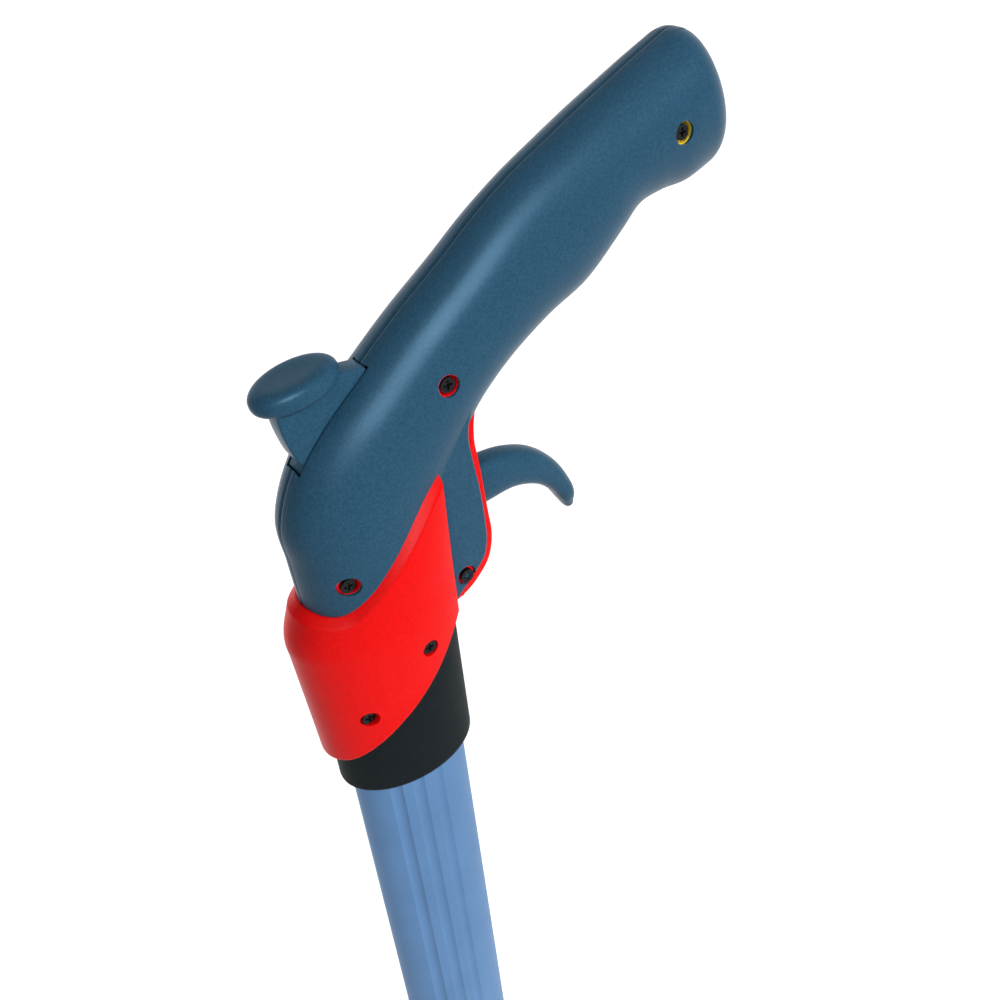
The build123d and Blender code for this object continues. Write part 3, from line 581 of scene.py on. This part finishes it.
for side, name in ((-1, "left"), (1, "right")):
    skin = np.stack([skin_x, side * skin_y, z], -1)
    lining = np.stack([lining_x, side * lining_y, z], -1)
    wing = piece(f"collar_{name}_skin", grid(np.concatenate([skin, lining[::-1]]), closed=True, ends=True),
                 crease=COLLAR_CREASE)
    cut_away(wing, *[slab(disc(hole_x, hole_z, COLLAR_RECESS), *sorted((side * floor, side * OUTSIDE)))
                     for hole_x, hole_z, floor in collar_recesses])
    wing.data.materials.append(finish["red_plastic"])
    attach(wing, "handle")
    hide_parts(f"collar_{name}")

# Chassis rim: the front edge of the red moulded chassis, which stands out past the trigger plates.
# It is one rounded cheek on each side of the trigger, moulded in one with the chassis.
RIM_IN = 6.1
RIM_OUT = 9.5
RIM_ROUND = 0.9
rim_edge = np.array([(21.5, 57.4), (26.4, 59.4), (30.6, 62.6), (34.0, 66.5), (35.8, 71.4), (36.4, 76.8),
                     (36.0, 82.6), (35.4, 92.0), (34.6, 103.0), (34.1, 109.0), (34.5, 114.0), (35.4, 118.5)])
rim_rear = [(33.0, 123.0), (28.0, 112.0), (28.0, 70.0), (21.5, 61.5)]


def soften(body, width, angle):
    """Rounds a piece's edges that are sharper than an angle."""
    edge = body.modifiers.new("edge", "BEVEL")
    edge.width = width * MILLIMETRE
    edge.segments = 3
    edge.limit_method = "ANGLE"
    edge.angle_limit = np.radians(angle)
    settle(body)


rim_outline = np.concatenate([smooth_line(rim_edge, 80), rim_rear])
for side, name in ((-1, "left"), (1, "right")):
    rim = piece(f"chassis_rim_{name}", slab(rim_outline, *sorted((side * RIM_IN, side * RIM_OUT))))
    soften(rim, RIM_ROUND, 50)
    rim.data.materials.append(finish["red_plastic"])
    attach(rim, "handle")

# Screw bosses: thin plastic sleeves that line the screw recesses, red on the grip and yellow at the butt.
# Each is pushed into its recess, and its mouth is cut to follow the slope of the grip.
BOSS_WALL = 0.35
BOSS_PLAY = 0.01
BOSS_SHORTEST = 0.2
finish["yellow_plastic"] = moulded(
    "yellow_moulding", low=(0.72, 0.50, 0.02), high=(0.85, 0.60, 0.03), shine=(0.36, 0.46), relief=0.15)
# name, finish and height of the mouth of each sleeve: y at its middle and rise per millimetre of x
bosses = [("grip_boss", "red_plastic", -14.5, 0.0), ("foot_boss", "red_plastic", -12.3, -0.53),
          ("butt_boss", "yellow_plastic", -13.4, 0.0)]
for (x, z, floor), (name, slot, mouth, slope) in zip(recesses, bosses):
    wide = disc(x, z, RECESS_RADIUS - BOSS_PLAY)
    slim = disc(x, z, RECESS_RADIUS - BOSS_WALL)
    brim = np.minimum(mouth + slope * (wide[:, 0] - x), floor - BOSS_SHORTEST)
    foot = np.full(len(wide), floor)
    rings = [np.column_stack([ring[:, 0], y, ring[:, 1]])
             for ring, y in ((wide, brim), (wide, foot), (slim, foot), (slim, brim))]
    boss = piece(name, grid(np.stack(rings), around=True, closed=True))
    boss.data.materials.append(finish[slot])
    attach(boss, "handle")

# Trigger: a hook for the index finger, moulded in slate nylon.
# Its hub turns on a steel pin in the chassis, and a fork behind the hub moves the crank of the release rod.
TRIGGER_HALF = 5.5
HOOK_ROWS = 120
HOOK_COLUMNS = 72
HOOK_SQUARENESS = 0.8
TIP_DOME = 1.1
TIP_ROUND = 1.2
TIP_STEPS = 8
# outer x, outer z, inner x, inner z and half width of the hook's cross-sections, from the slot to the tip
hook_sections = np.array([
    (34.0, 96.0, 34.0, 80.6, 5.5), (41.0, 96.2, 41.0, 81.2, 5.5), (50.5, 94.6, 49.0, 81.6, 5.4),
    (58.7, 90.9, 55.0, 80.0, 5.3), (65.3, 85.0, 60.2, 77.0, 5.1), (70.0, 77.6, 64.8, 72.2, 4.8),
    (72.9, 69.8, 67.8, 67.2, 4.2), (72.9, 65.2, 69.8, 63.8, 2.6)])
# outlines in side view of the neck round the hub and of the fork, and the fork's two sides
neck = [(11.0, 73.0), (35.0, 82.0), (35.0, 93.6), (29.0, 93.6), (28.5, 91.0), (19.5, 91.0), (11.0, 84.0),
        (6.2, 81.2), (5.5, 78.5), (7.0, 74.8)]
trigger_fork = [(8.0, 76.5), (13.0, 83.5), (6.34, 93.0), (6.34, 98.4), (3.94, 98.4), (3.94, 93.4),
                (-0.46, 93.4), (-0.46, 98.4), (-2.86, 98.4), (-2.86, 91.0)]
TRIGGER_FORK_SIDES = (4.1, 7.0)


def squared(value, power):
    """Rounds a sine or cosine out towards a squarer section: sign times its size to a power below one."""
    return np.sign(value) * np.abs(value) ** power


middle, across, depth, width = domed(along(hook_sections, HOOK_ROWS), TIP_DOME, TIP_ROUND, TIP_STEPS)
swing = np.linspace(0, 2 * np.pi, HOOK_COLUMNS, endpoint=False)
reach = depth[:, None] * squared(np.cos(swing), HOOK_SQUARENESS)
hook = np.stack([middle[:, :1] + reach * across[:, :1],
                 width[:, None] * squared(np.sin(swing), HOOK_SQUARENESS),
                 middle[:, 1:] + reach * across[:, 1:]], -1)
trigger = piece("trigger_skin", grid(hook, around=True), slab(neck, -TRIGGER_HALF, TRIGGER_HALF),
                slab(trigger_fork, *TRIGGER_FORK_SIDES))
trigger.data.materials.append(finish["slate_plastic"])
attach(trigger, "trigger")
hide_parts("trigger")

# Thumb lever: a thin spur in the slot of the grip with an oval pad on top, moulded in slate nylon.
# It turns on its own steel pin, and pressing the pad back turns the crank through a second fork.
LEVER_HALF = 3.3
PAD_CENTRE = (-10.5, 141.5)
PAD_HALF = (12.5, 8.6, 4.0)
PAD_TILT = 9.0
PAD_DISH = 0.7
LEVER_REACH = 18.6
LEVER_ROUND = 0.6
KEEL_ANGLES = (222.0, 190.4)
# outlines in side view of the lever's heel, of its front and of the fork, and the fork's two sides
heel = np.array([(-14.2, 120.2), (-15.5, 123.0), (-16.8, 127.5), (-17.8, 133.5), (-17.8, 140.0)])
lever_front = [(1.0, 141.6), (8.2, 140.4), (8.2, 122.0), (5.5, 119.0), (1.0, 118.5)]
lever_fork = [(6.0, 121.0), (0.0, 121.0), (-6.34, 114.5), (-6.34, 106.8), (-3.94, 106.8), (-3.94, 112.5),
              (0.46, 112.5), (0.46, 106.8), (2.86, 106.8), (2.86, 114.5)]
LEVER_FORK_SIDES = (-7.0, -3.0)


def thumb_rest(rows, columns):
    """A flattened ball, squarer than round from the side, with a shallow dish on top, leaning by the tilt:
    x and y are cos lift to a power times cos and sin of the swing, z is sin lift to a power less the dish."""
    lift = np.radians(np.linspace(-90, 90, rows))[:, None]
    swing = np.linspace(0, 2 * np.pi, columns, endpoint=False)[None, :]
    rim = squared(np.cos(lift), 0.5)
    dish = PAD_DISH * np.clip(np.sin(lift), 0, 1) ** 4
    x = PAD_HALF[0] * rim * np.cos(swing)
    z = PAD_HALF[2] * squared(np.sin(lift), 0.85) - dish * (1 - rim ** 2) + 0 * swing
    lean = np.radians(PAD_TILT)
    return np.stack([PAD_CENTRE[0] + x * np.cos(lean) - z * np.sin(lean),
                     PAD_HALF[1] * rim * np.sin(swing),
                     PAD_CENTRE[1] + x * np.sin(lean) + z * np.cos(lean)], -1)


turn = np.radians(np.linspace(*KEEL_ANGLES, 20))
keel = np.array(LEVER_PIVOT) + LEVER_REACH * np.stack([np.cos(turn), np.sin(turn)], -1)
spur = np.concatenate([keel, smooth_line(heel, 40), lever_front])
lever = piece("thumb_lever_skin", slab(spur, -LEVER_HALF, LEVER_HALF), slab(lever_fork, *LEVER_FORK_SIDES),
              crease=50)
soften(lever, LEVER_ROUND, 40)
lever.data.materials.append(finish["slate_plastic"])
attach(lever, "thumb_lever")
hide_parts("thumb_lever")
thumb_pad = piece("thumb_pad", grid(thumb_rest(41, 96), around=True), crease=60)
thumb_pad.data.materials.append(finish["slate_plastic"])
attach(thumb_pad, "thumb_lever")

# Trigger spring: a compression spring wound from zinc-plated wire, between the trigger and the chassis roof.
# It is held by nothing but its own push, and shortens against the roof as the trigger is pulled.
SPRING_X = 24.0
SPRING_LOW = 91.8
SPRING_TOP = 111.2
SPRING_RADIUS = 3.0
SPRING_WIRE = 0.45
SPRING_TURNS = 6
WIRE_COLUMNS = 10


def coil(rows):
    """A circle of wire carried up a helix: x and y go round at the spring's radius, and z climbs evenly."""
    turn = np.linspace(0, 2 * np.pi * SPRING_TURNS, rows)[:, None]
    swing = np.linspace(0, 2 * np.pi, WIRE_COLUMNS, endpoint=False)[None, :]
    reach = SPRING_RADIUS + SPRING_WIRE * np.cos(swing)
    rise = SPRING_LOW + (SPRING_TOP - SPRING_LOW) * turn / turn[-1] + SPRING_WIRE * np.sin(swing)
    wire = np.stack([SPRING_X + reach * np.cos(turn), reach * np.sin(turn), rise], -1)
    vertices, faces = grid(wire, around=True)
    cut_ends = [list(range(WIRE_COLUMNS)), list(range(len(vertices) - WIRE_COLUMNS, len(vertices)))]
    return vertices, faces + cut_ends


finish["steel"] = metal(
    "zinc_plate", low=(0.28, 0.29, 0.30), high=(0.37, 0.38, 0.39), shine=(0.28, 0.42),
    across=700.0, along_z=700.0, relief=0.2)
spring = piece("trigger_spring_skin", coil(40 * SPRING_TURNS))
spring.data.materials.append(finish["steel"])
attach(spring, "handle")
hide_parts("trigger_spring")
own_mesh(spring)

# Chassis and washers: the red moulded frame between the grip shells, which carries the pins, rod and spring.
# Red and yellow plastic washers lie under the grip's screws. The shells hide all but the washers, the rim
# and the bottom of the lever's slot.


def dress(slot):
    """Gives the solids of one slot of the record their finish."""
    for part in frame["record"]["subparts"]:
        if part["material_slot"] == slot:
            solid = frame["nodes"][part["node"]]
            solid.data.materials.clear()
            solid.data.materials.append(finish[slot])


for slot in ("red_plastic", "yellow_plastic", "slate_plastic"):
    dress(slot)

# Release rod and pole lock: a zinc-plated steel crank, square rod and cam, and two rubber brake shoes.
# The cam presses the shoes against the outer tube until the trigger is pulled. The rod's bush and the lock
# plug are moulded in natural acetal, and the plug is riveted into the top of the inner tube.
finish["white_plastic"] = moulded(
    "natural_moulding", low=(0.70, 0.69, 0.64), high=(0.78, 0.77, 0.73), shine=(0.4, 0.5), relief=0.15)
finish["rubber"] = moulded(
    "brake_rubber", low=(0.016, 0.016, 0.017), high=(0.028, 0.027, 0.027), shine=(0.7, 0.85),
    relief=0.4, scale=1500.0)
for slot in ("steel", "white_plastic", "rubber"):
    dress(slot)

# Guide collar and saw head: mouldings in the black nylon of the socket, one on the lower end of each tube.
# The head is riveted on, and its two cheeks clamp the blade with two bolts.
for slot in ("aluminium_tube", "black_plastic"):
    dress(slot)

# Saw blade: hardened steel, stamped, ground across its sides, and bolted into the head.
# It is curved and toothed on the inside, with a branch hook at the heel and a hanging hole near the tip.
finish["blade_steel"] = metal(
    "ground_steel", low=(0.24, 0.25, 0.26), high=(0.33, 0.34, 0.35), shine=(0.34, 0.48),
    across=60.0, along_z=2600.0, relief=0.35)
dress("blade_steel")

# Screws and rivets: blackened cross-head screws in the handle, plain aluminium rivets through the tubes.
# Bolts, nuts and pins are zinc-plated steel like the spring.
finish["black_screw"] = metal(
    "blackened_screw", low=(0.006, 0.006, 0.007), high=(0.016, 0.016, 0.018), shine=(0.2, 0.32),
    across=1200.0, along_z=1200.0, relief=0.2, metallic=0.8)
finish["aluminium_rivet"] = metal(
    "plain_aluminium", low=(0.38, 0.39, 0.41), high=(0.48, 0.49, 0.51), shine=(0.3, 0.45),
    across=900.0, along_z=900.0, relief=0.2)
for slot in ("black_screw", "aluminium_rivet"):
    dress(slot)

# Studio: not part of the tool. A pale matt floor lies below the drawn-out pole, and the surround is white.
# Three broad white lamps light the tool from the front right, the front left and behind.
# A fourth gives only the sheen along the grip and the tube.
FLOOR_Z = -1.80
FLOOR_REACH = 14.0
FLOOR_GREY = (0.85, 0.85, 0.85, 1)
FLOOR_GLOW = 0.5
SURROUND_LIGHT = 0.10
SURROUND_SEEN = 1.0
WHITE = (1, 1, 1, 1)
floor_mesh = bpy.data.meshes.new("floor")
corners = [(-1, -1), (1, -1), (1, 1), (-1, 1)]
floor_mesh.from_pydata([(x * FLOOR_REACH, y * FLOOR_REACH, FLOOR_Z) for x, y in corners], [], [(0, 1, 2, 3)])
floor = bpy.data.objects.new("floor", floor_mesh)
bpy.context.scene.collection.objects.link(floor)


def seen_directly(tree):
    """1 for rays from the camera, from a reflection or through glass, else 0."""
    path = tree.nodes.new("ShaderNodeLightPath")
    total = path.outputs["Is Camera Ray"]
    for ray in ("Is Glossy Ray", "Is Transmission Ray"):
        add = tree.nodes.new("ShaderNodeMath")
        add.operation = "MAXIMUM"
        tree.links.new(total, add.inputs[0])
        tree.links.new(path.outputs[ray], add.inputs[1])
        total = add.outputs[0]
    return total


pale = bpy.data.materials.new("pale_floor")
pale.use_nodes = True
tree = pale.node_tree
shader = tree.nodes["Principled BSDF"]
shader.inputs["Base Color"].default_value = FLOOR_GREY
shader.inputs["Roughness"].default_value = 0.9
shader.inputs["Emission Color"].default_value = WHITE
glow = tree.nodes.new("ShaderNodeMath")
glow.operation = "MULTIPLY"
glow.inputs[1].default_value = FLOOR_GLOW
tree.links.new(seen_directly(tree), glow.inputs[0])
tree.links.new(glow.outputs[0], shader.inputs["Emission Strength"])
floor_mesh.materials.append(pale)

world = bpy.data.worlds.new("studio")
bpy.context.scene.world = world
world.use_nodes = True
tree = world.node_tree
sky = tree.nodes["Background"]
sky.inputs["Color"].default_value = WHITE
tree.links.new(span(tree, seen_directly(tree), 0, 1, SURROUND_LIGHT, SURROUND_SEEN), sky.inputs["Strength"])


def lamp(name, direction, spread, strength, diffuse=True, glossy=True):
    """Far, broad lamp that shines from one direction, the same over the tool's whole length."""
    light = bpy.data.lights.new(name, "SUN")
    light.energy = strength
    light.angle = np.radians(spread)
    made = bpy.data.objects.new(name, light)
    made.rotation_euler = Vector(direction).to_track_quat("Z", "Y").to_euler()
    made.visible_diffuse = diffuse
    made.visible_glossy = glossy
    bpy.context.scene.collection.objects.link(made)


lamp("key_lamp", (0.40, -0.82, 0.42), spread=26, strength=3.1, glossy=False)
lamp("left_lamp", (-0.60, -0.60, 0.50), spread=26, strength=0.7, glossy=False)
lamp("streak_lamp", (-0.30, -0.72, 0.60), spread=32, strength=6.0, diffuse=False)
lamp("back_lamp", (-0.10, 0.99, 0.10), spread=20, strength=2.2, glossy=False)

# Camera: where the photograph was taken from, looking down on the grip from the left and behind.
# Its place and lens were worked out from the tube's edges, the socket's lip and the grip's outline.
eye = (-0.09926766, -0.22668566, 0.27568640)
right = (0.80308508, -0.58978213, -0.08491990)
up = (0.40732444, 0.43935613, 0.80065785)
behind = (-0.43490361, -0.67758633, 0.59307303)
optics = bpy.data.cameras.new("photo_camera")
optics.sensor_width = 36.0
optics.lens = 39.6
optics.clip_start = 0.01
optics.clip_end = 60.0
camera = bpy.data.objects.new("photo_camera", optics)
camera.matrix_world = Matrix([*zip(right, up, behind, eye), (0, 0, 0, 1)])
bpy.context.scene.collection.objects.link(camera)
bpy.context.scene.camera = camera
bpy.context.scene.view_settings.view_transform = "Standard"
